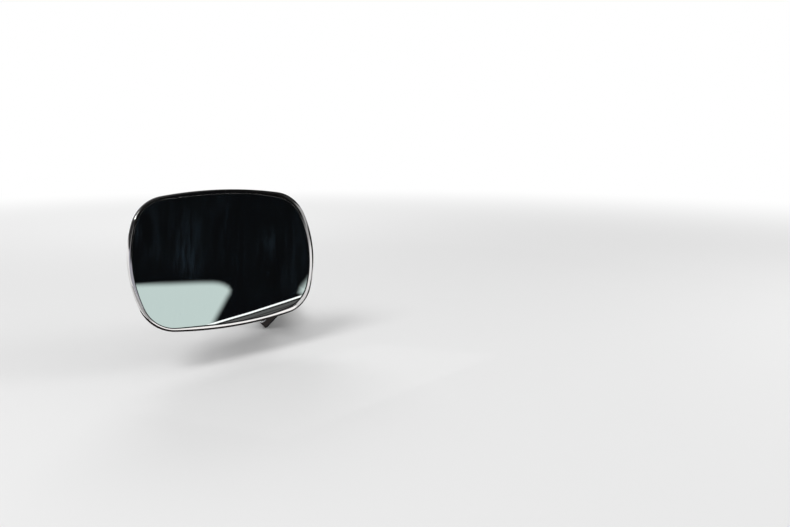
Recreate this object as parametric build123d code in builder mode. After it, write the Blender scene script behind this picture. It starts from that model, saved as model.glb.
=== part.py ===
"""Outside door mirror of a car, left side: a domed head on a ball joint, carried by a pedestal on the door.

The origin is the centre of the foot on the door's surface. +X points into the car, +Y forward and +Z up.
All sizes are in millimetres and all angles in degrees.
"""
from build123d import *
from math import cos, radians, sin, tan
import os

# Door surface: it leans outwards, so its normal points up and away from the car
DOOR_SLOPE = 45.0
# Face of the head: the middle of the bezel's front and the turns that aim it at the driver
FACE_CENTRE = (-38.0, -113.0, 60.5)
AIM_INWARD = 26.8
AIM_UP = 8.8
AIM_ROLL = 1.3
# Outline of the face: shallow arcs along the four sides, tangent to the corner arcs
FACE_WIDTH = 140.0
FACE_HEIGHT = 95.0
CORNER_RADIUS = 26.8
END_TURN = 20.9
LONG_SIDE_TURN = 8.2

# Head shell: a short upright lip, then a pillow that narrows as a power of its depth, with an even wall
LIP_DEPTH = 3.0
PILLOW_DEPTH = 38.0
PILLOW_POWER = 2.5
PILLOW_SIZES = (1.0, 0.88, 0.7, 0.45, 0.2)
PILLOW_ROUNDING = 18.0
PILLOW_TURNING = 16.0
WALL = 2.2
SIDE_WALL = 2.7
BOSS_FILLET = 2.0
LEDGE_LEVEL = 3.5
LEDGE_THICKNESS = 1.5
LEDGE_INSET = 6.0

# Bezel, gasket and glass, from the face inwards
BEZEL_WIDTH = 2.8
BEZEL_SHEET = 0.9
BEZEL_ROUND = 1.5
BEZEL_INNER_ROUND = 0.5
GASKET_WIDTH = 0.6
GASKET_SET_BACK = 0.4
GLASS_SET_BACK = 0.6
GLASS_THICKNESS = 2.5
GLASS_CHAMFER = 0.3

# Ball joint: its centre and the way its neck points, both along the face, up it and out of it
BALL_CENTRE = (24.0, -16.0, -36.0)
NECK_AIM = (0.45, -0.40, -0.80)
BALL_RADIUS = 9.0
BALL_GAP = 0.25
SEAT_WALL = 1.8
SEAT_MOUTH = 50.0
SEAT_TAIL = 125.0
SOCKET_WALL = 3.0
SOCKET_MOUTH = 58.0
SOCKET_LENGTH = 7.0
NECK_RADIUS = 4.5
COLLAR_RADIUS = 6.3
COLLAR_LENGTH = 2.0
SHANK_RADIUS = 4.0
SHANK_LENGTH = 9.0

# Pedestal: a long crowned foot and a fin swept back from it to the ball
FOOT_LENGTH = 88.0
FOOT_WIDTH = 31.0
FOOT_CORNER = 4.0
FOOT_CREST = 11.0
FOOT_FALL = 4.8
FOOT_DRAFT = 5.0
FOOT_ROUND = 1.2
ROOT_FILLET = 5.0
POCKET_LENGTH = 68.0
POCKET_WIDTH = 22.0
POCKET_TOP = 5.8
STEM_ROOT = -16.0
STEM_CHORD = 42.0
STEM_THICKNESS = 10.0
STEM_WAIST_CHORD = 25.0
STEM_WAIST_THICKNESS = 9.6
STEM_TIP_CHORD = 15.0
STEM_TIP_THICKNESS = 11.0
STEM_TIP_GAP = 18.0
STEM_BEND = 14.0
STEM_SINK = 6.5

# Base gasket, door bracket and the screw that locks the foot on the bracket
BASE_GASKET_THICKNESS = 1.2
BRACKET_LENGTH = 64.0
BRACKET_WIDTH = 19.0
BRACKET_THICKNESS = 2.0
SCREW_SPACING = 44.5
SCREW_HOLE_RADIUS = 2.6
LUG_LENGTH = 12.0
LUG_THICKNESS = 2.0
LUG_TOP = 5.0
LUG_OFFSET = 6.5
LOCK_PLACE = 12.0
LOCK_LEVEL = 4.0
LOCK_RADIUS = 1.75
LOCK_CLEARANCE = 0.05
LOCK_LENGTH = 7.0
LOCK_KEY = 2.0
LOCK_KEY_DEPTH = 2.5

os.makedirs("parts", exist_ok=True)

slope = radians(DOOR_SLOPE)
door = Plane(origin=(0, 0, 0), x_dir=(0, 1, 0), z_dir=(-sin(slope), 0, cos(slope)))

aim, tip, roll = radians(AIM_INWARD), radians(AIM_UP), radians(AIM_ROLL)
level = Vector(cos(aim), sin(aim), 0)
normal = Vector(sin(aim) * cos(tip), -cos(aim) * cos(tip), sin(tip))
face = Plane(origin=FACE_CENTRE, x_dir=level * cos(roll) - normal.cross(level) * sin(roll), z_dir=normal)

# The neck leaves the ball along its own axis, and the stem bends from there to its root on the foot
ball_centre = face.from_local_coords(Vector(*BALL_CENTRE))
neck_axis = (face.from_local_coords(Vector(*NECK_AIM)) - face.origin).normalized()
chord = (door.x_dir - neck_axis * door.x_dir.dot(neck_axis)).normalized()
ball = Plane(origin=ball_centre, x_dir=chord, z_dir=neck_axis)


def face_outline(inset, size=1.0):
    """Face's outline, inset by the same width all round, or one of its smaller and rounder likenesses."""
    corner_radius = size * (CORNER_RADIUS + PILLOW_ROUNDING * (1 - size))
    turn = END_TURN + PILLOW_TURNING * (1 - size)
    side_turn = LONG_SIDE_TURN + PILLOW_TURNING * (1 - size)
    # Radii of the shallow arcs, from the width and height that the sides and corners have to fill
    sin_end, cos_end = sin(radians(turn)), cos(radians(turn))
    sin_side, cos_side = sin(radians(side_turn)), cos(radians(side_turn))
    reach_x = size * FACE_WIDTH / 2 - corner_radius * (cos_end - sin_side)
    reach_y = size * FACE_HEIGHT / 2 - corner_radius * (cos_side - sin_end)
    spread = (1 - cos_end) * (1 - cos_side) - sin_end * sin_side
    end_radius = (reach_x * (1 - cos_side) - reach_y * sin_side) / spread
    side_radius = (reach_y * (1 - cos_end) - reach_x * sin_end) / spread
    with BuildSketch() as outline:
        with BuildLine():
            end = JernArc((size * FACE_WIDTH / 2 - inset, 0), (0, 1), end_radius - inset, turn)
            corner = JernArc(end @ 1, end % 1, corner_radius - inset, 90 - turn - side_turn)
            JernArc(corner @ 1, corner % 1, side_radius - inset, side_turn)
            mirror(about=Plane.YZ)
            mirror(about=Plane.XZ)
        make_face()
    return outline.sketch


def pillow(inset, depth):
    """Body of the head behind the lip: the outline shrinks and closes at the middle of the back."""
    with BuildPart() as body:
        sections = []
        for size in PILLOW_SIZES:
            level = -LIP_DEPTH - depth * (1 - size**PILLOW_POWER)
            with BuildSketch(face.offset(level), mode=Mode.PRIVATE) as section:
                add(face_outline(inset * size, size))
            sections.append(section.sketch)
        loft([*sections, Vertex(face.offset(-LIP_DEPTH - depth).origin)])
    return body.part


def ring(outer_inset, inner_inset, front, back):
    """Flat ring that follows the face's outline, between two levels."""
    with BuildPart() as band:
        with BuildSketch(face.offset(back)):
            add(face_outline(outer_inset))
            add(face_outline(inner_inset), mode=Mode.SUBTRACT)
        extrude(amount=front - back)
    return band.part


# Head shell: the ledge behind the lip carries the glass, and the socket's boss grows from the domed back
socket_radius = BALL_RADIUS + 2 * BALL_GAP + SEAT_WALL
boss_radius = socket_radius + SOCKET_WALL
cavity_front = LEDGE_LEVEL + LEDGE_THICKNESS
with BuildPart() as cavity:
    add(pillow(SIDE_WALL, PILLOW_DEPTH - WALL))
    split(bisect_by=face.offset(-cavity_front), keep=Keep.BOTTOM)
with BuildPart() as head_shell:
    add(pillow(0, PILLOW_DEPTH))
    with Locations(ball_centre):
        Sphere(boss_radius)
    boss_face = head_shell.faces().filter_by(GeomType.SPHERE)
    fillet(boss_face.edges().filter_by(GeomType.BSPLINE), radius=BOSS_FILLET)
    with Locations(ball.offset(SOCKET_LENGTH).location):
        Cylinder(
            boss_radius,
            boss_radius,
            align=(Align.CENTER, Align.CENTER, Align.MIN),
            mode=Mode.SUBTRACT,
        )
    add(ring(BEZEL_SHEET, LEDGE_INSET, -BEZEL_SHEET, -LIP_DEPTH))
    add(cavity.part, mode=Mode.SUBTRACT)
    with BuildSketch(face.offset(-cavity_front)):
        add(face_outline(LEDGE_INSET))
    extrude(amount=cavity_front, mode=Mode.SUBTRACT)
    with BuildSketch(face.offset(-LEDGE_LEVEL)):
        add(face_outline(BEZEL_WIDTH))
    extrude(amount=LEDGE_LEVEL, mode=Mode.SUBTRACT)
    with Locations(ball_centre):
        Sphere(socket_radius, mode=Mode.SUBTRACT)
    mouth_start = socket_radius * cos(radians(SOCKET_MOUTH)) / 2
    flare = tan(radians(SOCKET_MOUTH))
    with Locations(ball.offset(mouth_start).location):
        Cone(
            mouth_start * flare,
            SOCKET_LENGTH * flare,
            SOCKET_LENGTH - mouth_start,
            align=(Align.CENTER, Align.CENTER, Align.MIN),
            mode=Mode.SUBTRACT,
        )

# Bezel: a rolled rim snapped over the front of the lip
with BuildPart() as bezel:
    add(ring(0, BEZEL_WIDTH, 0, -LIP_DEPTH))
    add(ring(BEZEL_SHEET, BEZEL_WIDTH, -BEZEL_SHEET, -LIP_DEPTH), mode=Mode.SUBTRACT)
    front = bezel.faces().sort_by(Axis(face.origin, face.z_dir))[-1]
    fillet(front.outer_wire().edges(), radius=BEZEL_ROUND)
    front = bezel.faces().sort_by(Axis(face.origin, face.z_dir))[-1]
    fillet(front.inner_wires()[0].edges(), radius=BEZEL_INNER_ROUND)

# Gasket: holds the glass off the metal
with BuildPart() as glass_gasket:
    add(ring(BEZEL_WIDTH, BEZEL_WIDTH + GASKET_WIDTH, -GASKET_SET_BACK, -LEDGE_LEVEL))

# Glass: flat, with its front edge ground off
with BuildPart() as mirror_glass:
    glass_back = -GLASS_SET_BACK - GLASS_THICKNESS
    with BuildSketch(face.offset(glass_back)):
        add(face_outline(BEZEL_WIDTH + GASKET_WIDTH))
    extrude(amount=GLASS_THICKNESS)
    front = mirror_glass.faces().sort_by(Axis(face.origin, face.z_dir))[-1]
    chamfer(front.edges(), length=GLASS_CHAMFER)

# Ball seat: a ring of the sphere between the ball and its socket
with BuildPart() as ball_seat:
    seat_inner, seat_outer = BALL_RADIUS + BALL_GAP, socket_radius - BALL_GAP
    mouth, tail = radians(SEAT_MOUTH), radians(SEAT_TAIL)
    with BuildSketch(Plane(ball_centre, x_dir=chord, z_dir=chord.cross(neck_axis))):
        with BuildLine():
            inner = CenterArc((0, 0), seat_inner, 90 - SEAT_TAIL, SEAT_TAIL - SEAT_MOUTH)
            outer = CenterArc((0, 0), seat_outer, 90 - SEAT_TAIL, SEAT_TAIL - SEAT_MOUTH)
            Line(inner @ 0, outer @ 0)
            Line(inner @ 1, outer @ 1)
        make_face()
    revolve(axis=Axis(ball_centre, neck_axis))

# Ball stud: ball, neck, collar and the shank that is pressed into the stem
with BuildPart() as ball_stud:
    with Locations(ball_centre):
        Sphere(BALL_RADIUS)
    with BuildSketch(ball):
        Circle(NECK_RADIUS)
    extrude(amount=STEM_TIP_GAP)
    with BuildSketch(ball.offset(STEM_TIP_GAP - COLLAR_LENGTH)):
        Circle(COLLAR_RADIUS)
    extrude(amount=COLLAR_LENGTH)
    with BuildSketch(ball.offset(STEM_TIP_GAP)):
        Circle(SHANK_RADIUS)
    extrude(amount=SHANK_LENGTH)

# Pedestal: crowned foot, swept stem, and a pocket below for the bracket
lug_face = LUG_OFFSET + LUG_THICKNESS / 2
lock_start = door.from_local_coords(Vector(LOCK_PLACE, lug_face, LOCK_LEVEL))
lock = Plane(lock_start, x_dir=door.x_dir, z_dir=door.y_dir)
crown_radius = (FOOT_LENGTH**2 / 4 + FOOT_FALL**2) / (2 * FOOT_FALL)
tip = ball.offset(STEM_TIP_GAP)
root = Plane(door.from_local_coords(Vector(STEM_ROOT, 0, STEM_SINK)), x_dir=door.x_dir, z_dir=-door.z_dir)
bend = tip.origin + neck_axis * STEM_BEND
sweep_axis = (root.origin - tip.origin).normalized()
waist_chord = door.x_dir - sweep_axis * door.x_dir.dot(sweep_axis)
waist = Plane((root.origin + bend * 2 + tip.origin) / 4, x_dir=waist_chord, z_dir=sweep_axis)
with BuildPart() as stem:
    with BuildSketch(tip):
        Ellipse(STEM_TIP_CHORD / 2, STEM_TIP_THICKNESS / 2)
    with BuildSketch(waist):
        Ellipse(STEM_WAIST_CHORD / 2, STEM_WAIST_THICKNESS / 2)
    with BuildSketch(root):
        Ellipse(STEM_CHORD / 2, STEM_THICKNESS / 2)
    loft()
with BuildPart() as pedestal:
    with BuildSketch(door.offset(BASE_GASKET_THICKNESS)):
        RectangleRounded(FOOT_LENGTH, FOOT_WIDTH, FOOT_CORNER)
    extrude(amount=FOOT_CREST, taper=FOOT_DRAFT)
    with Locations(door.from_local_coords(Vector(0, 0, FOOT_CREST - crown_radius))):
        Sphere(crown_radius, mode=Mode.INTERSECT)
    fillet(pedestal.faces().filter_by(GeomType.SPHERE).edges(), radius=FOOT_ROUND)
    add(stem.part)
    crown = pedestal.faces().filter_by(GeomType.SPHERE).sort_by(SortBy.AREA)[-1]
    fillet(crown.inner_wires()[0].edges(), radius=ROOT_FILLET)
    with BuildSketch(door):
        SlotOverall(POCKET_LENGTH, POCKET_WIDTH)
    extrude(amount=POCKET_TOP, mode=Mode.SUBTRACT)
    with BuildSketch(tip):
        Circle(SHANK_RADIUS)
    extrude(amount=SHANK_LENGTH, mode=Mode.SUBTRACT)
    with BuildSketch(lock):
        Circle(LOCK_RADIUS + LOCK_CLEARANCE)
    extrude(amount=FOOT_WIDTH / 2, mode=Mode.SUBTRACT)

# Set screw: goes through the side of the foot and bears on the bracket's lug
with BuildPart() as set_screw:
    with BuildSketch(lock):
        Circle(LOCK_RADIUS)
    extrude(amount=LOCK_LENGTH)
    with BuildSketch(lock.offset(LOCK_LENGTH)):
        RegularPolygon(LOCK_KEY / 2, 6, major_radius=False)
    extrude(amount=-LOCK_KEY_DEPTH, mode=Mode.SUBTRACT)

# Base gasket: a pad round the pocket, between the foot and the paint
with BuildPart() as base_gasket:
    with BuildSketch(door):
        RectangleRounded(FOOT_LENGTH, FOOT_WIDTH, FOOT_CORNER)
        SlotOverall(POCKET_LENGTH, POCKET_WIDTH, mode=Mode.SUBTRACT)
    extrude(amount=BASE_GASKET_THICKNESS)

# Door bracket: a flat plate with two screw holes, hooked in the foot's pocket
with BuildPart() as door_bracket:
    with BuildSketch(door):
        SlotOverall(BRACKET_LENGTH, BRACKET_WIDTH)
        with GridLocations(SCREW_SPACING, 0, 2, 1):
            Circle(SCREW_HOLE_RADIUS, mode=Mode.SUBTRACT)
    extrude(amount=BRACKET_THICKNESS)
    with BuildSketch(door):
        with Locations((LOCK_PLACE, LUG_OFFSET)):
            Rectangle(LUG_LENGTH, LUG_THICKNESS)
    extrude(amount=LUG_TOP)

pieces = {
    "head_shell": head_shell,
    "bezel": bezel,
    "glass_gasket": glass_gasket,
    "mirror_glass": mirror_glass,
    "ball_seat": ball_seat,
    "ball_stud": ball_stud,
    "pedestal": pedestal,
    "set_screw": set_screw,
    "base_gasket": base_gasket,
    "door_bracket": door_bracket,
}
for name, piece in pieces.items():
    piece.part.label = name
    export_step(piece.part, f"parts/{name}.step")
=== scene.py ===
"""Looks of a car door mirror: a chrome head with flat glass, on a ball joint and a swept pedestal.

Everything is in metres, in the part's own frame. Its origin is the middle of the foot's mounting face.
"""
import bpy
import bmesh
from math import atan2, cos, degrees, pi, radians, sin, sqrt
from mathutils import Matrix, Vector


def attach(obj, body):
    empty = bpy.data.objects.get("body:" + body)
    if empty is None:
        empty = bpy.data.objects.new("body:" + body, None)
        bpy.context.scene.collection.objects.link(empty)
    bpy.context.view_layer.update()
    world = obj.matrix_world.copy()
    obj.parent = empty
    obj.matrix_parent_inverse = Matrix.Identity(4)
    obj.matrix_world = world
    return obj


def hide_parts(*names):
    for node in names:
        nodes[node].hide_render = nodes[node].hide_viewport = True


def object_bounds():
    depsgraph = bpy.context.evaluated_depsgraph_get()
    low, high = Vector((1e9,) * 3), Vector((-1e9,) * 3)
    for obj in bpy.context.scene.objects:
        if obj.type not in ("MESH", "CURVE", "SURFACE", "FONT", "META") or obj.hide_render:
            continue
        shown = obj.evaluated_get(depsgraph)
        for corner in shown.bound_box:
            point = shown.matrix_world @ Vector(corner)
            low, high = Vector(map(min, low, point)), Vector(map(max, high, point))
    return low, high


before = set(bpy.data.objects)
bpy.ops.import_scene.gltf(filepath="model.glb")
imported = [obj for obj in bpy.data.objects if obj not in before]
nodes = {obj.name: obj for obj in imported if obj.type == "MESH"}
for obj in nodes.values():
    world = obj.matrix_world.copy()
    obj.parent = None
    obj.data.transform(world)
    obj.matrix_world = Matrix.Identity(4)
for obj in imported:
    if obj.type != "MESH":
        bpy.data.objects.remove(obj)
cad_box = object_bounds()

# The camera stands where the picture was taken from, about half a metre behind the glass and a little
# above it. The picture is 790 pixels wide, and the lens is given in such pixels.
CAMERA_PLACE = Vector((-0.05109, -0.58975, 0.14084))
PICTURE_WIDTH = 790
PICTURE_HEIGHT = 527
LENS_PIXELS = 682.0
SENSOR_WIDTH = 36.0
NEAREST_SHOWN = 0.02
LOOK_DOWN = radians(10.3)
LOOK_RIGHT = radians(15.3)

ahead = Vector((sin(LOOK_RIGHT) * cos(LOOK_DOWN), cos(LOOK_RIGHT) * cos(LOOK_DOWN), -sin(LOOK_DOWN)))
rightward = Vector((cos(LOOK_RIGHT), -sin(LOOK_RIGHT), 0))
upward = rightward.cross(ahead)
camera_axes = Matrix((rightward, upward, -ahead)).transposed().to_4x4()
camera_data = bpy.data.cameras.new("camera")
camera_data.sensor_width = SENSOR_WIDTH
camera_data.lens = LENS_PIXELS / PICTURE_WIDTH * SENSOR_WIDTH
camera_data.clip_start = NEAREST_SHOWN
camera = bpy.data.objects.new("camera", camera_data)
camera.matrix_world = Matrix.Translation(CAMERA_PLACE) @ camera_axes
bpy.context.scene.collection.objects.link(camera)
bpy.context.scene.camera = camera
bpy.context.scene.view_settings.view_transform = "Standard"


# Door bracket: a steel plate stamped flat, with one lug turned up for the locking screw. It is zinc
# plated and passivated, which leaves it cloudy, between blue and straw. Two screws hold it down.
ZINC_BLUE = (0.56, 0.60, 0.66, 1)
ZINC_STRAW = (0.68, 0.65, 0.52, 1)
# Nearly all of a noise lies between these values
NOISE_LOW = 0.3
NOISE_HIGH = 0.7
# Where a Mix node has its colours, since its sockets of other kinds have the same names
MIX_COLOUR_A = 6
MIX_COLOUR_B = 7
MIX_COLOUR_RESULT = 2


def new_finish(name, **sockets):
    """A new material and its Principled shader. A socket's name is written with _ for a space."""
    material = bpy.data.materials.new(name)
    material.use_nodes = True
    shader = material.node_tree.nodes["Principled BSDF"]
    for socket, value in sockets.items():
        shader.inputs[socket.replace("_", " ")].default_value = value
    return material, shader


def add_node(owner, kind, inputs=None, **settings):
    """A new node in a tree, or in the tree of a material or of the world. An input is a value, or
    another node's output that is linked to it."""
    tree = getattr(owner, "node_tree", owner)
    node = tree.nodes.new(kind)
    for setting, value in settings.items():
        setattr(node, setting, value)
    for socket, value in (inputs or {}).items():
        if isinstance(value, bpy.types.NodeSocket):
            tree.links.new(value, node.inputs[socket])
        else:
            node.inputs[socket].default_value = value
    return node


def feed(node, **sockets):
    """Links outputs to sockets of a node. A socket's name is written with _ for a space."""
    for socket, output in sockets.items():
        node.id_data.links.new(output, node.inputs[socket.replace("_", " ")])


def object_place(material):
    """Where the surface lies, in the piece's own coordinates."""
    return add_node(material, "ShaderNodeTexCoord").outputs["Object"]


def noise(material, scale, detail=4, stretch=(1, 1, 1), turn=(0, 0, 0), roughness=0.5, place=None):
    """Noise over the piece's own coordinates or an attribute of it, with so many features in a metre.
    Stretch makes them so many times as long, along the three axes that turn sets."""
    if place is None:
        where = object_place(material)
    else:
        where = add_node(material, "ShaderNodeAttribute", attribute_name=place).outputs["Vector"]
    mapping = {"Vector": where, "Rotation": turn, "Scale": stretch}
    mapped = add_node(material, "ShaderNodeMapping", mapping, vector_type="TEXTURE").outputs[0]
    texture = {"Vector": mapped, "Scale": scale, "Detail": detail, "Roughness": roughness}
    return add_node(material, "ShaderNodeTexNoise", texture).outputs["Fac"]


def remap(material, value, low, high, to_low=0.0, to_high=1.0, smooth=False):
    """Value from low to high spread over to_low to to_high, and held at the ends."""
    inputs = {"Value": value, "From Min": low, "From Max": high, "To Min": to_low, "To Max": to_high}
    kind = "SMOOTHSTEP" if smooth else "LINEAR"
    return add_node(material, "ShaderNodeMapRange", inputs, interpolation_type=kind).outputs["Result"]


def blend_colours(material, factor, a, b):
    """Colour a where the factor is 0 and colour b where it is 1."""
    inputs = {"Factor": factor, MIX_COLOUR_A: a, MIX_COLOUR_B: b}
    return add_node(material, "ShaderNodeMix", inputs, data_type="RGBA").outputs[MIX_COLOUR_RESULT]


def bump(material, shader, height, depth):
    """Surface relief: depth is how far a height of 1 stands up, in metres."""
    relief = add_node(material, "ShaderNodeBump", {"Height": height, "Distance": depth})
    feed(shader, Normal=relief.outputs[0])


def varied_finish(name, patches, spread, colours, grain, roughness, relief, **sockets):
    """A finish that goes over from one colour to the other as its patches run through the spread, and
    whose roughness and relief follow its grain. Patches and grain are settings of noise."""
    material, shader = new_finish(name, **sockets)
    share = remap(material, noise(material, **patches), *spread)
    height = noise(material, **grain)
    feed(
        shader,
        Base_Color=blend_colours(material, share, *colours),
        Roughness=remap(material, height, NOISE_LOW, NOISE_HIGH, *roughness),
    )
    bump(material, shader, height, relief)
    return material


def paint(node_name, material):
    """Gives a CAD node's surface this material."""
    mesh = nodes[node_name].data
    mesh.materials.clear()
    mesh.materials.append(material)


zinc = varied_finish(
    "zinc_plate",
    patches={"scale": 90, "detail": 3},
    spread=(0.35, 0.65),
    colours=(ZINC_BLUE, ZINC_STRAW),
    grain={"scale": 2400, "detail": 2, "stretch": (1, 7, 1)},
    roughness=(0.26, 0.44),
    relief=0.00001,
    Metallic=1.0,
)
paint("door_bracket", zinc)


# Base gasket: a pad of soft black rubber, cut to the foot's outline and hollow round the bracket. It
# cushions and seals the foot. It is matt, with a fine moulded grain and a little dust on it.
RUBBER_BLACK = (0.016, 0.016, 0.018, 1)
RUBBER_DUSTY = (0.055, 0.053, 0.05, 1)
RUBBER_GLOSS = 0.35


def rubber(name, black, dusty, gloss):
    """Moulded rubber: its colour where it is clean and where dust lies, and how glossy it is."""
    return varied_finish(
        name,
        patches={"scale": 260, "detail": 6, "roughness": 0.6},
        spread=(0.45, 0.75),
        colours=(black, dusty),
        grain={"scale": 5200, "detail": 2},
        roughness=(0.6, 0.82),
        relief=0.00003,
        Specular_IOR_Level=gloss,
    )


paint("base_gasket", rubber("base_gasket_rubber", RUBBER_BLACK, RUBBER_DUSTY, RUBBER_GLOSS))


# Pedestal: a zinc die casting, foot and swept stem in one, polished and chrome plated. The plating is
# bright, over the casting's slight waves, and has fine wiping scratches and a few pits.
CHROME = (0.76, 0.765, 0.775, 1)
CHROME_PIT = (0.16, 0.15, 0.14, 1)
CHROME_ROUGHNESS = (0.03, 0.075)
HAZE_CLOUDS = 55
WAVES = 42
WAVE_HEIGHT = 0.00003
PEDESTAL_PITS = 0.35
# A pit fades out between these parts of its cell. Patches of them begin between these levels of a
# noise, which the share of pits lowers.
PIT_CELLS = 700
PIT_RADII = (0.07, 0.13)
PIT_PATCHES = 38
PIT_LEVELS = (0.72, 0.80)
PIT_LEVELS_LOWER = 0.3
PIT_ROUGHER = 0.45
PIT_DEEPER = 1.5
# The scratches run in three directions, and show where a long-drawn noise is above these levels
SCRATCH_TURNS = [(0.3, 0.8, 0.2), (1.1, -0.4, 0.9), (-0.7, 0.2, 1.7)]
SCRATCH_FINENESS = 900
SCRATCH_LENGTH = 30
SCRATCH_LEVELS = (0.66, 0.72)
SCRATCH_ROUGHER = 0.05


def math_node(owner, operation, *values):
    """Result of an operation. MULTIPLY_ADD is the first value times the second plus the third."""
    return add_node(owner, "ShaderNodeMath", dict(enumerate(values)), operation=operation).outputs[0]


def dots(material, cells, radii, most):
    """Scattered dots, one in each cell and so many cells in a metre, which fade from most to 0."""
    texture = {"Vector": object_place(material), "Scale": cells}
    away = add_node(material, "ShaderNodeTexVoronoi", texture).outputs["Distance"]
    return remap(material, away, *radii, most, 0)


def chrome(name, pits):
    """Bright chrome; pits is the share of the surface where pits may be, from 0 to 1."""
    material, shader = new_finish(name, Metallic=1.0)
    scratches = 0.0
    for turn in SCRATCH_TURNS:
        hair = noise(material, SCRATCH_FINENESS, detail=1, stretch=(1, SCRATCH_LENGTH, 1), turn=turn)
        scratches = math_node(material, "MAXIMUM", scratches, remap(material, hair, *SCRATCH_LEVELS))
    low, high = (level - PIT_LEVELS_LOWER * pits for level in PIT_LEVELS)
    pitted = remap(material, noise(material, PIT_PATCHES, detail=3), low, high)
    pit = math_node(material, "MULTIPLY", dots(material, PIT_CELLS, PIT_RADII, 1), pitted)
    clouds = noise(material, HAZE_CLOUDS, detail=5, roughness=0.65)
    haze = remap(material, clouds, 0.4, 0.75, *CHROME_ROUGHNESS)
    worn = math_node(material, "MULTIPLY_ADD", scratches, SCRATCH_ROUGHER, haze)
    feed(
        shader,
        Base_Color=blend_colours(material, pit, CHROME, CHROME_PIT),
        Roughness=math_node(material, "MULTIPLY_ADD", pit, PIT_ROUGHER, worn),
    )
    waves = noise(material, WAVES, detail=2)
    bump(material, shader, math_node(material, "MULTIPLY_ADD", pit, -PIT_DEEPER, waves), WAVE_HEIGHT)
    return material


paint("pedestal", chrome("pedestal_chrome", PEDESTAL_PITS))


# Set screw: a small steel screw with a hexagon socket, blackened, through the outboard side of the
# foot. It bears on the bracket's lug and locks the foot down.
OXIDE_BLACK = (0.03, 0.03, 0.034, 1)
OXIDE_WORN = (0.12, 0.11, 0.105, 1)

blackened = varied_finish(
    "blackened_steel",
    patches={"scale": 1400, "detail": 4},
    spread=(0, 1),
    colours=(OXIDE_BLACK, OXIDE_WORN),
    grain={"scale": 1400, "detail": 4},
    roughness=(0.32, 0.55),
    relief=0.00002,
    Metallic=0.85,
)
paint("set_screw", blackened)


# Ball stud: turned from one steel bar, plated, and pressed into the end of the stem. The lathe leaves
# fine rings round the ball, the neck and the collar, which have small fillets where they meet.
BALL_CENTRE = Vector((-0.0318071, -0.0728492, 0.0386468))
NECK_AXIS = Vector((0.065211, 0.847354, -0.527009)).normalized()
BALL_RADIUS = 0.009
NECK_RADIUS = 0.0045
NECK_FILLET = 0.0015
COLLAR_RADIUS = 0.0063
COLLAR_START = 0.016
STEM_TIP = 0.018
COLLAR_CHAMFER = 0.0004
COLLAR_FILLET = 0.0008
SHANK_RADIUS = 0.004
SHANK_END = 0.027
LATHE_STEPS = 128
BALL_STEPS = 40
NECK_FILLET_STEPS = 8
COLLAR_FILLET_STEPS = 6
STUD_CREASE = 30
STEEL = (0.50, 0.50, 0.51, 1)
STEEL_DARK = (0.34, 0.335, 0.33, 1)


def arc(centre, radius, start, end, steps):
    """Points of an arc in a profile; angles are in degrees, counted from the profile's first axis."""
    turns = [radians(start + (end - start) * i / steps) for i in range(steps + 1)]
    return [(centre[0] + radius * cos(a), centre[1] + radius * sin(a)) for a in turns]


def new_piece(name, mesh):
    """A piece with this mesh, in the scene."""
    piece = bpy.data.objects.new(name, mesh)
    bpy.context.scene.collection.objects.link(piece)
    return piece


def put_outside_out(shape, mesh):
    """Turns a shape's faces outwards and puts them into the mesh."""
    bmesh.ops.recalc_face_normals(shape, faces=shape.faces)
    shape.to_mesh(mesh)
    shape.free()


def smooth_by_angle(piece, crease):
    """Smooth shading, with the edges that turn more than the crease, in degrees, left sharp."""
    mesh = piece.data
    mesh.polygons.foreach_set("use_smooth", [True] * len(mesh.polygons))
    mesh.set_sharp_from_angle(angle=radians(crease))


def lathe(name, profile, centre, axis):
    """A piece: a profile of (radius, height) pairs turned round an axis, with its ends closed."""
    to_part = Matrix.Translation(centre) @ axis.to_track_quat("Z", "Y").to_matrix().to_4x4()
    turns = [2 * pi * i / LATHE_STEPS for i in range(LATHE_STEPS)]
    shape = bmesh.new()
    circles = []
    for radius, height in profile:
        around = turns if radius > 0 else [0.0]
        places = [to_part @ Vector((radius * cos(a), radius * sin(a), height)) for a in around]
        circles.append([shape.verts.new(place) for place in places])
    for low, high in zip(circles, circles[1:]):
        for i in range(LATHE_STEPS):
            k = (i + 1) % LATHE_STEPS
            corners = [low[i % len(low)], low[k % len(low)], high[k % len(high)], high[i % len(high)]]
            shape.faces.new(list(dict.fromkeys(corners)))
    mesh = bpy.data.meshes.new(name)
    put_outside_out(shape, mesh)
    return new_piece(name, mesh)


# The fillet rolls on the ball and on the neck, so its centre is one fillet outside both
fillet_out = NECK_RADIUS + NECK_FILLET
fillet_height = sqrt((BALL_RADIUS + NECK_FILLET) ** 2 - fillet_out**2)
meeting = degrees(atan2(fillet_height, fillet_out))
stud_profile = [(0.0, -BALL_RADIUS)]
stud_profile += arc((0.0, 0.0), BALL_RADIUS, -90, meeting, BALL_STEPS)[1:]
fillet_centre = (fillet_out, fillet_height)
stud_profile += arc(fillet_centre, NECK_FILLET, 180 + meeting, 180, NECK_FILLET_STEPS)[1:]
collar_centre = (NECK_RADIUS + COLLAR_FILLET, COLLAR_START - COLLAR_FILLET)
stud_profile += arc(collar_centre, COLLAR_FILLET, 180, 90, COLLAR_FILLET_STEPS)
stud_profile += [
    (COLLAR_RADIUS - COLLAR_CHAMFER, COLLAR_START),
    (COLLAR_RADIUS, COLLAR_START + COLLAR_CHAMFER),
    (COLLAR_RADIUS, STEM_TIP - COLLAR_CHAMFER),
    (COLLAR_RADIUS - COLLAR_CHAMFER, STEM_TIP),
    (SHANK_RADIUS, STEM_TIP),
    (SHANK_RADIUS, SHANK_END - COLLAR_CHAMFER),
    (SHANK_RADIUS - COLLAR_CHAMFER, SHANK_END),
    (0.0, SHANK_END),
]
stud = lathe("turned_stud", stud_profile, BALL_CENTRE, NECK_AXIS)
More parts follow.
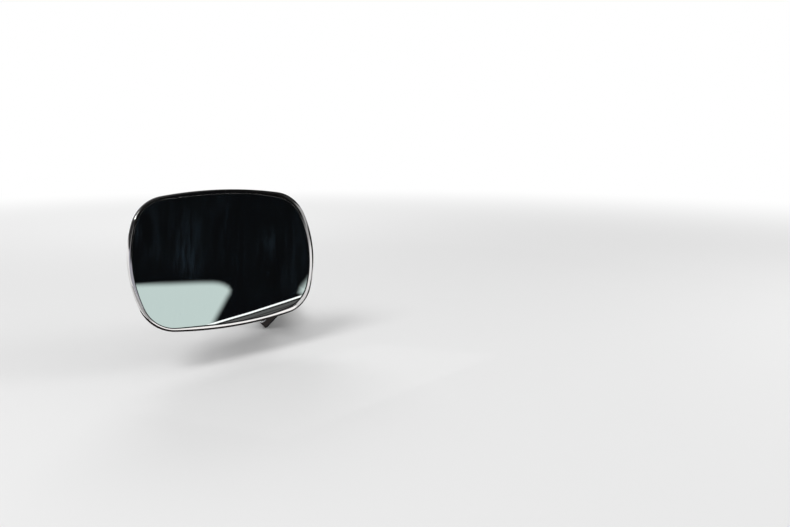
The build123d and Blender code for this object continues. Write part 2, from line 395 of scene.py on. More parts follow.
smooth_by_angle(stud, STUD_CREASE)

along_neck = tuple(NECK_AXIS.to_track_quat("Z", "Y").to_euler())
steel = varied_finish(
    "turned_steel",
    patches={"scale": 160, "detail": 4},
    spread=(0.4, 0.7),
    colours=(STEEL, STEEL_DARK),
    grain={"scale": 2600, "detail": 2, "stretch": (50, 50, 1), "turn": along_neck},
    roughness=(0.14, 0.3),
    relief=0.000012,
    Metallic=1.0,
)
stud.data.materials.append(steel)
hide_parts("ball_stud")
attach(stud, "pedestal")


# Ball seat: a ring of black nylon, moulded to the ball and pressed into the socket. Grease makes it
# a little glossy near the mouth.
NYLON_BLACK = (0.014, 0.014, 0.015, 1)
NYLON_GREY = (0.034, 0.033, 0.031, 1)
NYLON_ROUGHNESS = (0.28, 0.5)
NYLON_GRAIN = 0.00001

nylon, nylon_shader = new_finish("black_nylon", Specular_IOR_Level=0.45)
mottle = noise(nylon, 500, detail=3)
feed(
    nylon_shader,
    Base_Color=blend_colours(nylon, mottle, NYLON_BLACK, NYLON_GREY),
    Roughness=remap(nylon, mottle, NOISE_LOW, NOISE_HIGH, *NYLON_ROUGHNESS),
)
bump(nylon, nylon_shader, noise(nylon, 3200, detail=2), NYLON_GRAIN)
paint("ball_seat", nylon)


# Head shell: a hollow zinc die casting, domed like a pillow, polished and chrome plated as one with
# the boss that holds the ball. Its lip is hidden under the bezel.
SHELL_PITS = 0.0

paint("head_shell", chrome("head_chrome", SHELL_PITS))


# Bezel: a strip of stainless steel, rolled to a bead and polished, bent round the face and snapped
# over the lip of the shell. It shows as the bright rim round the glass.
FACE_CENTRE = Vector((-0.0380, -0.1130, 0.0605))
AIM_INWARD = radians(26.8)
AIM_UP = radians(8.8)
AIM_ROLL = radians(1.3)
FACE_WIDTH = 0.140
FACE_HEIGHT = 0.095
CORNER_RADIUS = 0.0268
END_TURN = radians(20.9)
LONG_SIDE_TURN = radians(8.2)
ARC_STEPS = 24
BEZEL_WIDTH = 0.0031
BEZEL_DEPTH = 0.0030
BEZEL_SHEET = 0.0009
BEZEL_CREASE = 40
# How much wider the rim is at its inboard end, and slimmer at its outboard end and the corner below
INBOARD_WIDER = 0.0016
OUTBOARD_SLIMMER = 0.0010
CORNER_SLIMMER = 0.0004
# Shares of the half width and half height at which the ends and the lower side begin and are full
END_BEGINS = 0.3
END_FULL = 0.85
LOW_BEGINS = 0.3
LOW_FULL = 0.8
BEAD_ROUND = 0.0018
BEAD_LEAN = radians(25)
INNER_LEAN = radians(3)
INNER_ROUND = 0.00004
BEAD_STEPS = 12
INNER_STEPS = 6
STAINLESS_WARM = (0.74, 0.73, 0.73, 1)
STAINLESS_PALE = (0.80, 0.785, 0.78, 1)
POLISH_ROUGHNESS = (0.035, 0.08)
POLISH_RELIEF = 0.000002
WEAR_ROUGHER = 0.05

face_level = Vector((cos(AIM_INWARD), sin(AIM_INWARD), 0))
face_normal = Vector((sin(AIM_INWARD) * cos(AIM_UP), -cos(AIM_INWARD) * cos(AIM_UP), sin(AIM_UP)))
face_across = face_level * cos(AIM_ROLL) - face_normal.cross(face_level) * sin(AIM_ROLL)
face_up = face_normal.cross(face_across)
face_axes = Matrix((face_across, face_up, face_normal)).transposed()
face_to_part = Matrix.Translation(FACE_CENTRE) @ face_axes.to_4x4()


def face_point(x, y, level):
    """Point of the part's frame from places along the face, up it and out of it."""
    return FACE_CENTRE + face_across * x + face_up * y + face_normal * level


def face_outline():
    """Points of the face's outline with their outward directions: shallow sides, rounder corners."""
    reach_x = FACE_WIDTH / 2 - CORNER_RADIUS * (cos(END_TURN) - sin(LONG_SIDE_TURN))
    reach_y = FACE_HEIGHT / 2 - CORNER_RADIUS * (cos(LONG_SIDE_TURN) - sin(END_TURN))
    end_drop = 1 - cos(END_TURN)
    side_drop = 1 - cos(LONG_SIDE_TURN)
    spread = end_drop * side_drop - sin(END_TURN) * sin(LONG_SIDE_TURN)
    end_radius = (reach_x * side_drop - reach_y * sin(LONG_SIDE_TURN)) / spread
    side_radius = (reach_y * end_drop - reach_x * sin(END_TURN)) / spread
    corner_turn = pi / 2 - END_TURN - LONG_SIDE_TURN
    arcs = [(end_radius, END_TURN), (CORNER_RADIUS, corner_turn), (side_radius, LONG_SIDE_TURN)]
    quarter = []
    x, y, angle = FACE_WIDTH / 2, 0.0, 0.0
    for radius, turn in arcs:
        for step in range(ARC_STEPS):
            a = angle + turn * step / ARC_STEPS
            place = (x + radius * (cos(a) - cos(angle)), y + radius * (sin(a) - sin(angle)))
            quarter.append((*place, cos(a), sin(a)))
        x += radius * (cos(angle + turn) - cos(angle))
        y += radius * (sin(angle + turn) - sin(angle))
        angle += turn
    top = (0.0, FACE_HEIGHT / 2, 0.0, 1.0)
    left = [(-px, py, -nx, ny) for px, py, nx, ny in reversed(quarter[1:])]
    upper = quarter + [top] + left
    start = (-FACE_WIDTH / 2, 0.0, -1.0, 0.0)
    lower = [(px, -py, nx, -ny) for px, py, nx, ny in reversed(upper[1:])]
    return upper + [start] + lower


def ease(value, low, high):
    """0 below low and 1 above high, with a smooth rise between."""
    t = min(1.0, max(0.0, (value - low) / (high - low)))
    return t * t * (3 - 2 * t)


def rim_shares(x, y):
    """How far the place belongs to the rim's inboard end, outboard end and lower outboard corner."""
    inboard = ease(2 * x / FACE_WIDTH, END_BEGINS, END_FULL)
    outboard = ease(-2 * x / FACE_WIDTH, END_BEGINS, END_FULL)
    return inboard, outboard, outboard * ease(-2 * y / FACE_HEIGHT, LOW_BEGINS, LOW_FULL)


def edge_loop(name, places, **carried):
    """A closed loop of edges whose points carry numbers or vectors as attributes."""
    mesh = bpy.data.meshes.new(name)
    count = len(places)
    mesh.from_pydata(places, [(i, (i + 1) % count) for i in range(count)], [])
    for attribute, values in carried.items():
        if isinstance(values[0], Vector):
            layer = mesh.attributes.new(attribute, "FLOAT_VECTOR", "POINT")
            layer.data.foreach_set("vector", [part for value in values for part in value])
        else:
            mesh.attributes.new(attribute, "FLOAT", "POINT").data.foreach_set("value", values)
    return new_piece(name, mesh)


def running_length(places):
    """Length travelled at each point of a closed loop, and the whole of it."""
    travelled = [0.0]
    for a, b in zip(places, places[1:] + places[:1]):
        travelled.append(travelled[-1] + (b - a).length)
    return travelled[:-1], travelled[-1]


def vector_node(owner, operation, a, b):
    """Result of an operation on two vectors."""
    return add_node(owner, "ShaderNodeVectorMath", {0: a, 1: b}, operation=operation).outputs[0]


def along_axis(tree, **parts):
    """A vector with these parts along X, Y and Z, and none along the others."""
    return add_node(tree, "ShaderNodeCombineXYZ", parts).outputs[0]


def carried_value(tree, name, kind="FLOAT"):
    """Value that the points brought with them."""
    reader = add_node(tree, "GeometryNodeInputNamedAttribute", {"Name": name}, data_type=kind)
    return reader.outputs["Attribute"]


def ring_tree():
    """Sweeps a closed profile round a closed path, from the inset and level that its points carry."""
    tree = bpy.data.node_groups.new("ring_round_the_face", "GeometryNodeTree")
    for label, kind in (("Path", "Geometry"), ("Profile", "Object"), ("Material", "Material")):
        tree.interface.new_socket(label, in_out="INPUT", socket_type=f"NodeSocket{kind}")
    for label in ("Inboard Wider", "Outboard Slimmer", "Corner Slimmer"):
        tree.interface.new_socket(label, in_out="INPUT", socket_type="NodeSocketFloat")
    tree.interface.new_socket("Ring", in_out="OUTPUT", socket_type="NodeSocketGeometry")
    given = add_node(tree, "NodeGroupInput").outputs
    path = add_node(tree, "GeometryNodeMeshToCurve", {"Mesh": given["Path"]}).outputs[0]
    section = add_node(tree, "GeometryNodeObjectInfo", {"Object": given["Profile"]}).outputs
    profile = add_node(tree, "GeometryNodeMeshToCurve", {"Mesh": section["Geometry"]}).outputs[0]
    swept = {"Curve": path, "Profile Curve": profile}
    swept = add_node(tree, "GeometryNodeCurveToMesh", swept).outputs[0]

    wider = math_node(tree, "MULTIPLY", carried_value(tree, "inboard"), given["Inboard Wider"])
    for share, size in (("outboard", "Outboard Slimmer"), ("corner", "Corner Slimmer")):
        slimmer = math_node(tree, "MULTIPLY", carried_value(tree, share), given[size])
        wider = math_node(tree, "SUBTRACT", wider, slimmer)
    follows = carried_value(tree, "follows")
    inset = math_node(tree, "MULTIPLY_ADD", wider, follows, carried_value(tree, "inset"))
    inward = {0: carried_value(tree, "outward", "FLOAT_VECTOR"), "Scale": inset}
    inward = add_node(tree, "ShaderNodeVectorMath", inward, operation="SCALE").outputs[0]
    place = vector_node(tree, "SUBTRACT", carried_value(tree, "place", "FLOAT_VECTOR"), inward)
    place = vector_node(tree, "ADD", place, along_axis(tree, Z=carried_value(tree, "level")))
    placed = {"Geometry": swept, "Position": place}
    placed = add_node(tree, "GeometryNodeSetPosition", placed).outputs[0]

    around = carried_value(tree, "around", "FLOAT_VECTOR")
    surface = vector_node(tree, "ADD", around, along_axis(tree, X=carried_value(tree, "across")))
    stored = {"Geometry": placed, "Name": "surface_place", "Value": surface}
    store = add_node(tree, "GeometryNodeStoreNamedAttribute", stored, data_type="FLOAT_VECTOR")
    real = add_node(tree, "GeometryNodeRealizeInstances", {"Geometry": store.outputs[0]}).outputs[0]
    dressed = {"Geometry": real, "Material": given["Material"]}
    dressed = add_node(tree, "GeometryNodeSetMaterial", dressed).outputs[0]
    add_node(tree, "NodeGroupOutput", {"Ring": dressed})
    return tree


def ring_round_face(name, profile, follows, material, crease):
    """A closed profile of (inset, level) pairs carried round the face; follows tells how far each of
    them goes along with the widening of the rim."""
    outline = face_outline()
    places = [Vector((x, y, 0)) for x, y, _, _ in outline]
    inboard, outboard, corner = zip(*[rim_shares(x, y) for x, y, _, _ in outline])
    travelled, whole = running_length(places)
    turns = [2 * pi * length / whole for length in travelled]
    ring = edge_loop(
        name,
        places,
        place=places,
        outward=[Vector((nx, ny, 0)) for _, _, nx, ny in outline],
        inboard=inboard,
        outboard=outboard,
        corner=corner,
        around=[Vector((0, cos(a), sin(a))) * (whole / (2 * pi)) for a in turns],
    )
    corners = [Vector((inset, level, 0)) for inset, level in profile]
    section = edge_loop(
        name + "_section",
        corners,
        inset=[corner.x for corner in corners],
        level=[corner.y for corner in corners],
        follows=follows,
        across=running_length(corners)[0],
    )
    modifier = ring.modifiers.new("sweep", "NODES")
    modifier.node_group = sweep
    given = {
        "Profile": section,
        "Material": material,
        "Inboard Wider": INBOARD_WIDER,
        "Outboard Slimmer": OUTBOARD_SLIMMER,
        "Corner Slimmer": CORNER_SLIMMER,
    }
    for item in sweep.interface.items_tree:
        if item.name in given:
            modifier[item.identifier] = given[item.name]
    evaluated = ring.evaluated_get(bpy.context.evaluated_depsgraph_get())
    solid = bpy.data.meshes.new_from_object(evaluated)
    ring.modifiers.clear()
    bpy.data.objects.remove(section)
    ring.data = solid
    solid.transform(face_to_part)
    shape = bmesh.new()
    shape.from_mesh(solid)
    put_outside_out(shape, solid)
    smooth_by_angle(ring, crease)
    return ring


# The bead is crowned: nearly flat at the glass, it leans out more and more and rolls over the edge
bead_run = BEAD_ROUND * (1 - sin(BEAD_LEAN))
inner_run = INNER_ROUND * (1 + sin(INNER_LEAN))
crown_radius = (BEZEL_WIDTH - bead_run - inner_run) / (sin(BEAD_LEAN) - sin(INNER_LEAN))
crown_fall = crown_radius * (cos(INNER_LEAN) - cos(BEAD_LEAN))
bead_centre = (BEAD_ROUND, -crown_fall - BEAD_ROUND * cos(BEAD_LEAN))
crown_centre = (bead_run + crown_radius * sin(BEAD_LEAN), -crown_fall - crown_radius * cos(BEAD_LEAN))
inner_centre = (BEZEL_WIDTH - INNER_ROUND, -INNER_ROUND * cos(INNER_LEAN))
bead_end = 90 + degrees(BEAD_LEAN)
inner_end = 90 + degrees(INNER_LEAN)
bezel_profile = [(0, -BEZEL_DEPTH)]
bezel_profile += arc(bead_centre, BEAD_ROUND, 180, bead_end, BEAD_STEPS)
bezel_profile += arc(crown_centre, crown_radius, bead_end, inner_end, BEAD_STEPS)[1:]
bezel_profile += arc(inner_centre, INNER_ROUND, inner_end, 0, INNER_STEPS)[1:]
bezel_profile += [
    (BEZEL_WIDTH, -BEZEL_SHEET),
    (BEZEL_SHEET, -BEZEL_SHEET),
    (BEZEL_SHEET, -BEZEL_DEPTH),
]

stainless, stainless_shader = new_finish("polished_stainless", Metallic=1.0)
polish = noise(stainless, 1500, detail=3, stretch=(1, 50, 50), place="surface_place")
lines = remap(stainless, polish, NOISE_LOW, NOISE_HIGH, *POLISH_ROUGHNESS)
wear = remap(stainless, noise(stainless, 120, detail=4), 0.45, 0.7, 0, WEAR_ROUGHER)
tint = noise(stainless, 70, detail=2)
feed(
    stainless_shader,
    Base_Color=blend_colours(stainless, tint, STAINLESS_WARM, STAINLESS_PALE),
    Roughness=math_node(stainless, "ADD", lines, wear),
)
bump(stainless, stainless_shader, polish, POLISH_RELIEF)

sweep = ring_tree()
bezel_follows = [inset / BEZEL_WIDTH for inset, _ in bezel_profile]
bezel = ring_round_face("rolled_bezel", bezel_profile, bezel_follows, stainless, BEZEL_CREASE)
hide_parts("bezel")
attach(bezel, "head")


# Glass gasket: a thin channel of black rubber round the edge of the glass, under the bezel. Its
# rounded lip shows between the two and holds the glass off the metal.
GASKET_WIDTH = 0.0006
GASKET_SET_BACK = 0.0004
GASKET_CREASE = 50
LIP_WIDTH = 0.0003
LIP_STEPS = 12
LEDGE_LEVEL = 0.0035
CHANNEL_BLACK = (0.006, 0.006, 0.007, 1)
CHANNEL_DUSTY = (0.014, 0.0135, 0.013, 1)
CHANNEL_GLOSS = 0.12

glass_inset = BEZEL_WIDTH + LIP_WIDTH
channel_inset = glass_inset - GASKET_WIDTH
lip_radius = LIP_WIDTH / 2
lip_centre = (BEZEL_WIDTH + lip_radius, -GASKET_SET_BACK - lip_radius)
gasket_profile = [(channel_inset, -LEDGE_LEVEL), (channel_inset, -BEZEL_SHEET)]
gasket_profile += [(BEZEL_WIDTH, -BEZEL_SHEET)]
gasket_profile += arc(lip_centre, lip_radius, 180, 0, LIP_STEPS)
gasket_profile += [(glass_inset, -LEDGE_LEVEL)]
gasket_follows = [1.0] * len(gasket_profile)
channel = rubber("glass_gasket_rubber", CHANNEL_BLACK, CHANNEL_DUSTY, CHANNEL_GLOSS)
gasket = ring_round_face("gasket_channel", gasket_profile, gasket_follows, channel, GASKET_CREASE)
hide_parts("glass_gasket")
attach(gasket, "head")


# Mirror glass: flat plate glass, silvered behind, with its front edge ground off. Wiping has left a
# faint bluish haze in upright strokes and a few specks of dust.
GLASS_SET_BACK = 0.0006
GLASS_THICKNESS = 0.0025
GLASS_CHAMFER = 0.0002
FLAT_ON = 0.99
SILVER = (0.80, 0.845, 0.835, 1)
SMEAR = (0.19, 0.33, 0.46, 1)
SMEAR_THICKEST = 0.08
SMEAR_ELSEWHERE = (0.07, 0.30)
STROKE_LEAN = 0.15
# Where wiping left most: the place along the face and up it, half a width, half a height, how much
SMEARED = [(-0.0295, 0.009, 0.016, 0.030, 1.0), (0.031, 0.006, 0.014, 0.019, 0.6)]
GLASS_ROUGHNESS = (0.008, 0.03)
SPECK_CELLS = 260
SPECK_RADII = (0.05, 0.08)
SPECK_THICKEST = 0.1
GROUND_DARK = (0.010, 0.014, 0.013, 1)
GROUND_PALE = (0.035, 0.045, 0.042, 1)


def distance_from(material, vector, centre=(0, 0, 0)):
    """How far the vector's end lies from the centre."""
    inputs = {0: vector, 1: centre}
    return add_node(material, "ShaderNodeVectorMath", inputs, operation="DISTANCE").outputs["Value"]


def mix_shaders(material, factor, a, b):
    """Shader a where the factor is 0 and shader b where it is 1."""
    return add_node(material, "ShaderNodeMixShader", {0: factor, 1: a, 2: b}).outputs[0]


glass_rings = [
    (glass_inset + GLASS_CHAMFER, -GLASS_SET_BACK),
    (glass_inset, -GLASS_SET_BACK - GLASS_CHAMFER),
    (glass_inset, -GLASS_SET_BACK - GLASS_THICKNESS),
]
shape = bmesh.new()
rings = []
for inset, level in glass_rings:
    ring = []
    for x, y, nx, ny in face_outline():
        inboard, outboard, corner = rim_shares(x, y)
        wider = inboard * INBOARD_WIDER - outboard * OUTBOARD_SLIMMER - corner * CORNER_SLIMMER
        inward = inset + wider
        ring.append(shape.verts.new(face_point(x - nx * inward, y - ny * inward, level)))
    rings.append(ring)
for front, back in zip(rings, rings[1:]):
    for i in range(len(front)):
        k = (i + 1) % len(front)
        shape.faces.new((front[i], front[k], back[k], back[i]))
shape.faces.new(rings[0])
shape.faces.new(list(reversed(rings[-1])))
glass_mesh = bpy.data.meshes.new("silvered_glass")
put_outside_out(shape, glass_mesh)
glass = new_piece("silvered_glass", glass_mesh)
for polygon in glass_mesh.polygons:
    polygon.material_index = 0 if polygon.normal.dot(face_normal) > FLAT_ON else 1

silvered, silvered_shader = new_finish("silvered_glass", Metallic=1.0, Base_Color=SILVER)
stroke_along = (face_up + face_across * STROKE_LEAN).normalized()
stroke_axes = Matrix((stroke_along.cross(face_normal), stroke_along, face_normal)).transposed()
stroke_turn = tuple(stroke_axes.to_euler())
strokes = noise(silvered, 420, detail=2, stretch=(1, 8, 1), turn=stroke_turn, roughness=0.6)
marked = remap(silvered, noise(silvered, 26, detail=3), 0.44, 0.64, *SMEAR_ELSEWHERE)
where = object_place(silvered)
for x, y, half_width, half_height, share in SMEARED:
    place = face_point(x, y, -GLASS_SET_BACK)
    spot = {"Vector": where, "Location": place, "Rotation": stroke_turn}
    spot["Scale"] = (half_width, half_height, 1)
    spot = add_node(silvered, "ShaderNodeMapping", spot, vector_type="TEXTURE").outputs[0]
    near = remap(silvered, distance_from(silvered, spot), 1, 0, 0, share)
    marked = math_node(silvered, "MAXIMUM", marked, near)
smears = math_node(silvered, "MULTIPLY", remap(silvered, strokes, 0.40, 0.75), marked)
specks = dots(silvered, SPECK_CELLS, SPECK_RADII, SPECK_THICKEST)
haze = math_node(silvered, "MULTIPLY_ADD", smears, SMEAR_THICKEST, specks)
film = add_node(silvered, "ShaderNodeBsdfDiffuse", {"Color": SMEAR}).outputs[0]
smeared = mix_shaders(silvered, haze, silvered_shader.outputs[0], film)
feed(silvered.node_tree.nodes["Material Output"], Surface=smeared)
feed(silvered_shader, Roughness=remap(silvered, smears, 0, 1, *GLASS_ROUGHNESS))

ground = varied_finish(
    "ground_edge",
    patches={"scale": 2600, "detail": 3},
    spread=(0, 1),
    colours=(GROUND_DARK, GROUND_PALE),
    grain={"scale": 2600, "detail": 3},
    roughness=(0.18, 0.32),
    relief=0.00001,
    IOR=1.52,
    Specular_IOR_Level=0.7,
)
glass.data.materials.append(silvered)
glass.data.materials.append(ground)
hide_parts("mirror_glass")
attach(glass, "head")


# The studio: a pale round floor that touches the foot's lowest edge and fades into white, and three
# soft lamps, of which the fill doesn't show in polished metal. A dark ceiling shows only there.
FLOOR_RADIUS = 5.0
FLOOR_SIDES = 128
FLOOR_GREY = (0.78, 0.78, 0.78, 1)
FADE_START = 0.15
FADE_END = 1.6
WHITE = (1, 1, 1, 1)
NEUTRAL = (1, 1, 1)
WORLD_LIGHT = 0.50
LAMPS = {
    "key": {"place": (-0.55, -0.55, 0.85), "width": 0.5, "height": 0.35, "watts": 5.0, "shines": True},
    "fill": {"place": (0.75, -0.35, 0.45), "width": 0.4, "height": 0.4, "watts": 2.0, "shines": False},
    "back": {"place": (-0.1, 0.85, 0.7), "width": 0.6, "height": 0.3, "watts": 3.2, "shines": True},
}
CEILING_HEIGHT = 1.0
CEILING_RADIUS = 3.0
CEILING_SIDES = 64
CEILING_DARK = 0.045
CEILING_DARK_RADIUS = 0.7


def seen_by(owner, *rays):
    """1 for these kinds of rays and 0 for the others."""
    kinds = add_node(owner, "ShaderNodeLightPath").outputs
    seen = 0.0
    for ray in rays:
        seen = math_node(owner, "MAXIMUM", seen, kinds[f"Is {ray} Ray"])
    return seen


def card(name, places, faces, colour, strength, shares=None):
    """A shining card that only reflections see; shares tells how much of it each point keeps."""
    mesh = bpy.data.meshes.new(name)
    mesh.from_pydata(places, [], faces)
    solid = mesh.attributes.new("solid", "FLOAT", "POINT")
    solid.data.foreach_set("value", shares or [1.0] * len(places))
    piece = new_piece(name, mesh)
    material = bpy.data.materials.new(name)
    material.use_nodes = True
    material.node_tree.nodes.clear()
    light = add_node(material, "ShaderNodeEmission", {"Color": (*colour, 1), "Strength": strength})
    clear = add_node(material, "ShaderNodeBsdfTransparent")
    share = add_node(material, "ShaderNodeAttribute", attribute_name="solid").outputs["Fac"]
    share = remap(material, share, 0, 1, smooth=True)
    mixed = mix_shaders(material, share, clear.outputs[0], light.outputs[0])
    add_node(material, "ShaderNodeOutputMaterial", {"Surface": mixed})
    mesh.materials.append(material)
    piece.visible_camera = False
    piece.visible_diffuse = False
    piece.visible_shadow = False
    piece.visible_transmission = False
    return material


floor_level = cad_box[0][2]
floor_shape = bmesh.new()
bmesh.ops.create_circle(floor_shape, cap_ends=True, segments=FLOOR_SIDES, radius=FLOOR_RADIUS)
floor_mesh = bpy.data.meshes.new("floor")
floor_shape.to_mesh(floor_mesh)
floor_shape.free()
floor_mesh.transform(Matrix.Translation((0, 0, floor_level)))
floor = new_piece("floor", floor_mesh)
pale, pale_shader = new_finish(
    "pale_floor",
    Base_Color=FLOOR_GREY,
    Roughness=0.9,
    Specular_IOR_Level=0.1,
)
fade = remap(pale, distance_from(pale, object_place(pale)), FADE_START, FADE_END, smooth=True)
fade = math_node(pale, "MULTIPLY", fade, seen_by(pale, "Camera", "Glossy"))
white = add_node(pale, "ShaderNodeEmission", {"Color": WHITE, "Strength": 1.0}).outputs[0]
faded = mix_shaders(pale, fade, pale_shader.outputs[0], white)
feed(pale.node_tree.nodes["Material Output"], Surface=faded)
floor.data.materials.append(pale)

world = bpy.data.worlds.new("studio")
bpy.context.scene.world = world
world.use_nodes = True
sky = world.node_tree.nodes["Background"]
sky.inputs["Color"].default_value = WHITE
seen = seen_by(world, "Camera", "Transmission", "Glossy")
feed(sky, Strength=remap(world, seen, 0, 1, WORLD_LIGHT, 1.0))

middle = (cad_box[0] + cad_box[1]) / 2
for name, lamp in LAMPS.items():
    data = bpy.data.lights.new(name, "AREA")
    data.shape = "RECTANGLE"
    data.size = lamp["width"]
    data.size_y = lamp["height"]
    data.energy = lamp["watts"]
    light = bpy.data.objects.new(name, data)
    light.location = lamp["place"]
    light.rotation_euler = (middle - light.location).to_track_quat("-Z", "Y").to_euler()
    light.visible_glossy = lamp["shines"]
    bpy.context.scene.collection.objects.link(light)

turns = [2 * pi * i / CEILING_SIDES for i in range(CEILING_SIDES)]
places = [(0, 0, CEILING_HEIGHT)]
places += [(CEILING_RADIUS * cos(a), CEILING_RADIUS * sin(a), CEILING_HEIGHT) for a in turns]
faces = [(0, i + 1, (i + 1) % CEILING_SIDES + 1) for i in range(CEILING_SIDES)]
ceiling = card("ceiling", places, faces, NEUTRAL, CEILING_DARK)
out = distance_from(ceiling, object_place(ceiling), places[0])
lit = remap(ceiling, out, CEILING_DARK_RADIUS, CEILING_RADIUS, CEILING_DARK, 1.0)
feed(ceiling.node_tree.nodes["Emission"], Strength=lit)


# Reflections: polished metal and silvered glass look like what stands round them. Dark curtains do,
# and before them are a pale patch and a bright strip, placed by the pixels where the glass shows them.
CURTAIN_REACH = 0.60
CURTAIN_GAP = 0.004
CURTAIN_COLUMNS = 36
CURTAIN_ROWS = 24
CURTAIN_FADE = 4.0
# Each curtain's bearings, the heights of its lower and of its upper edge at the two, all in degrees,
# its colour and its brightness. The later ones hang nearer.
CURTAINS = [
    ("grey_gap", (10, 116), (2.5, 2.5), (28, 28), NEUTRAL, 0.42),
    ("dark_curtain", (108, 160), (-18, -18), (64, 64), (0.92, 1, 1.18), 0.0036),
    ("dark_high", (94, 116), (7.5, 7.5), (64, 64), NEUTRAL, 0.0025),
    ("dark_side", (156, 250), (14, 48), (66, 75), NEUTRAL, 0.006),
    ("grey_side", (156, 234), (-12, -12), (18, 24), (0.40, 0.40, 0.45), 1.0),
    ("dark_left", (150, 190), (8, 8), (40, 40), NEUTRAL, 0.006),
    ("dark_outboard", (190, 318), (16, 4), (44, 40), NEUTRAL, 0.03),
    ("front_shade", (-60, 12), (2, 2), (60, 60), NEUTRAL, 0.12),
    ("dark_right", (-14, 92), (-18, -18), (17, 10), NEUTRAL, 0.015),
    ("dark_corner", (6, 98), (9, 21), (64, 64), NEUTRAL, 0.015),
]
# The cards stand across the glass's view, this far off. Their places are pixels of the picture.
CARD_REACH = 0.50
GLASS_MIDDLE = (220, 270)
PALE_COLOUR = (0.682, 0.779, 0.756)
PALE_PATCH = [
    (110, 286.6), (170, 284.0), (200, 282.9), (213, 282.8), (219, 283.4), (223.8, 284.8),
    (227.9, 287.0), (229.9, 290), (229.0, 293.6), (226.6, 297.6), (222.1, 306), (214.9, 319),
    (207.4, 333), (190, 347), (110, 347),
]
SMALL_PATCH = [
    (299.8, 291.5), (302.2, 287.6), (305.5, 283.5), (309.5, 278.5), (316, 272), (322, 292), (306, 297),
]
STRIP = [
    (205, 326.3), (216, 323), (230, 318.8), (250, 313.0), (286, 301.4), (302, 296), (310, 293.2),
]
WEDGE_TINT = (1, 0.97, 0.96)
STREAK_TINT = (1, 0.98, 0.97)
# Each streak's distance below the bright strip and its width, in pixels, and its brightness
WEDGE_STREAKS = [
    (3.2, 0.9, 0.12),
    (5.0, 0.7, 0.035),
    (6.6, 0.8, 0.13),
    (8.6, 0.8, 0.04),
    (10.2, 1.3, 0.17),
]

# Mats that lie just above the floor, round the lower edge of the head
MAT_LIFT = 0.0004
MAT_DARK = (1.0, 0.86, 0.84)
MAT_WHITE = (1, 0.99, 0.98)
UNDER_HEAD = [
    (-0.17, -0.10), (-0.105, -0.191), (0.062, -0.1077), (0.100, -0.105), (0.130, -0.02),
    (0.05, 0.05), (-0.12, 0.0),
]
BEFORE_RIM = [(-0.105, -0.1912), (0.062, -0.1079), (0.145, -0.155), (-0.02, -0.257)]
LEFT_OF_RIM = [
    (-0.1052, -0.1914), (-0.02, -0.2572), (-0.02, -0.60), (-0.34, -0.60), (-0.34, -0.14),
]
RIGHT_OF_RIM = [(0.10, -0.100), (0.45, -0.115), (0.45, 0.0), (0.14, 0.0)]
FAR_FROM_RIM = [
    (-0.0195, -0.2574), (0.145, -0.1552), (0.52, -0.36), (0.16, -0.66), (-0.0195, -0.55),
]


def curtain(name, turns, low, high, colour, strength, distance):
    """A card bent round the face, from one bearing to another. Its lower and its upper edge each run
    from one height to another, and it fades at its edges."""
    places, shares = [], []
    for i in range(CURTAIN_COLUMNS + 1):
        for j in range(CURTAIN_ROWS + 1):
            t, u = i / CURTAIN_COLUMNS, j / CURTAIN_ROWS
            bottom = low[0] + (low[1] - low[0]) * t
            top = high[0] + (high[1] - high[0]) * t
            turn_inside = (turns[1] - turns[0]) * min(t, 1 - t)
            rise_inside = (top - bottom) * min(u, 1 - u)
            shares.append(min(1.0, turn_inside / CURTAIN_FADE, rise_inside / CURTAIN_FADE))
            bearing = radians(turns[0] + (turns[1] - turns[0]) * t)
            rise = radians(bottom + (top - bottom) * u)
            direction = Vector((sin(bearing) * cos(rise), cos(bearing) * cos(rise), sin(rise)))
            places.append(FACE_CENTRE + direction * distance)
    faces = []
    for i in range(CURTAIN_COLUMNS):
        for j in range(CURTAIN_ROWS):
            a = i * (CURTAIN_ROWS + 1) + j
            b = a + CURTAIN_ROWS + 1
            faces.append((a, b, b + 1, a + 1))
    card(name, places, faces, colour, strength, shares)


def reflected(px, py):
    """Where the glass shows its surroundings at this pixel: a point on the glass and a direction."""
    right = px - PICTURE_WIDTH / 2
    down = py - PICTURE_HEIGHT / 2
    towards = (ahead * LENS_PIXELS + rightward * right - upward * down).normalized()
    glass_point = FACE_CENTRE - face_normal * GLASS_SET_BACK
    travel = (glass_point - CAMERA_PLACE).dot(face_normal) / towards.dot(face_normal)
    return CAMERA_PLACE + towards * travel, towards - face_normal * 2 * towards.dot(face_normal)


def on_card(px, py, nearer):
    """Point that shows at this pixel of the picture, on a card so much nearer than CARD_REACH."""
    start, axis = reflected(*GLASS_MIDDLE)
    place, direction = reflected(px, py)
    travel = (start + axis * (CARD_REACH - nearer) - place).dot(axis) / direction.dot(axis)
    return place + direction * travel


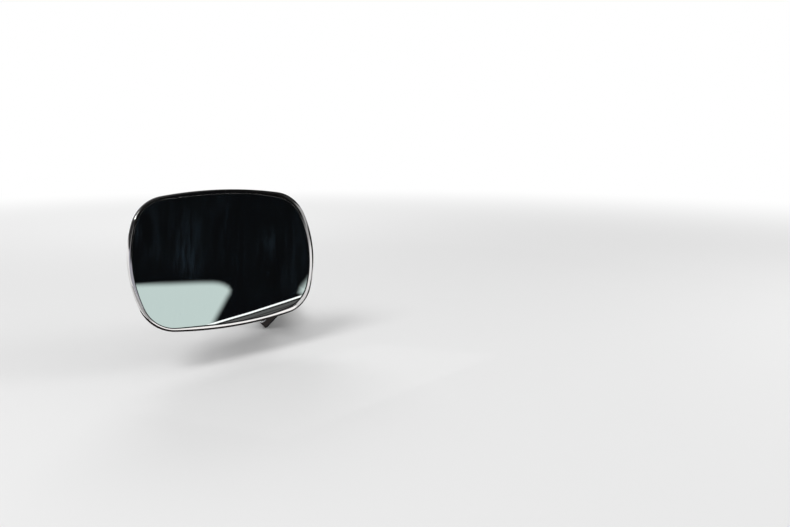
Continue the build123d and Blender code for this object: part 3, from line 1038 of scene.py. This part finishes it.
def picture_card(name, pixels, colour, strength, nearer, blur):
    """A card whose outline shows at these pixels of the picture, and fades over so many of them."""
    places, shares = [], []
    for side in (-0.5, 0.5):
        for before, (px, py), after in zip(pixels[-1:] + pixels, pixels, pixels[1:] + pixels[:1]):
            along = Vector((after[0] - before[0], after[1] - before[1])).normalized()
            places.append(on_card(px + along.y * side * blur, py - along.x * side * blur, nearer))
            shares.append(0.0 if side > 0 else 1.0)
    count = len(pixels)
    faces = [range(count)]
    for i in range(count):
        k = (i + 1) % count
        faces.append((i, k, count + k, count + i))
    card(name, places, faces, colour, strength, shares)


def picture_strip(name, above, below, colour, strength, nearer):
    """A card that shows as a band along the strip, from so many pixels above it to so many below."""
    places = [on_card(px, py - above, nearer) for px, py in STRIP]
    places += [on_card(px, py + below, nearer) for px, py in STRIP]
    count = len(STRIP)
    faces = [(i, i + 1, count + i + 1, count + i) for i in range(count - 1)]
    card(name, places, faces, colour, strength)


def mat(name, outline, colour, strength):
    """A card that lies just above the floor."""
    places = [(x, y, floor_level + MAT_LIFT) for x, y in outline]
    card(name, places, [range(len(places))], colour, strength)


for number, (name, turns, low, high, colour, strength) in enumerate(CURTAINS):
    curtain(name, turns, low, high, colour, strength, CURTAIN_REACH - number * CURTAIN_GAP)
picture_card("pale_patch", PALE_PATCH, PALE_COLOUR, strength=0.95, nearer=0.01, blur=8.0)
picture_card("small_patch", SMALL_PATCH, PALE_COLOUR, strength=1.0, nearer=0.02, blur=10.0)
picture_strip("wedge", above=-2.0, below=30, colour=WEDGE_TINT, strength=0.105, nearer=0.03)
for number, (offset, width, strength) in enumerate(WEDGE_STREAKS):
    name = f"wedge_streak_{number}"
    picture_strip(name, -offset, offset + width, STREAK_TINT, strength, nearer=0.035)
picture_strip("under_line", above=-0.9, below=2.1, colour=NEUTRAL, strength=0.012, nearer=0.04)
picture_strip("bright_strip", above=1.05, below=0.75, colour=NEUTRAL, strength=1.3, nearer=0.05)
mat("dark_mat", UNDER_HEAD, MAT_DARK, strength=0.03)
mat("white_mat", BEFORE_RIM, MAT_WHITE, strength=1.2)
mat("grey_mat", LEFT_OF_RIM, NEUTRAL, strength=0.45)
mat("right_mat", RIGHT_OF_RIM, NEUTRAL, strength=0.06)
mat("far_mat", FAR_FROM_RIM, NEUTRAL, strength=0.06)
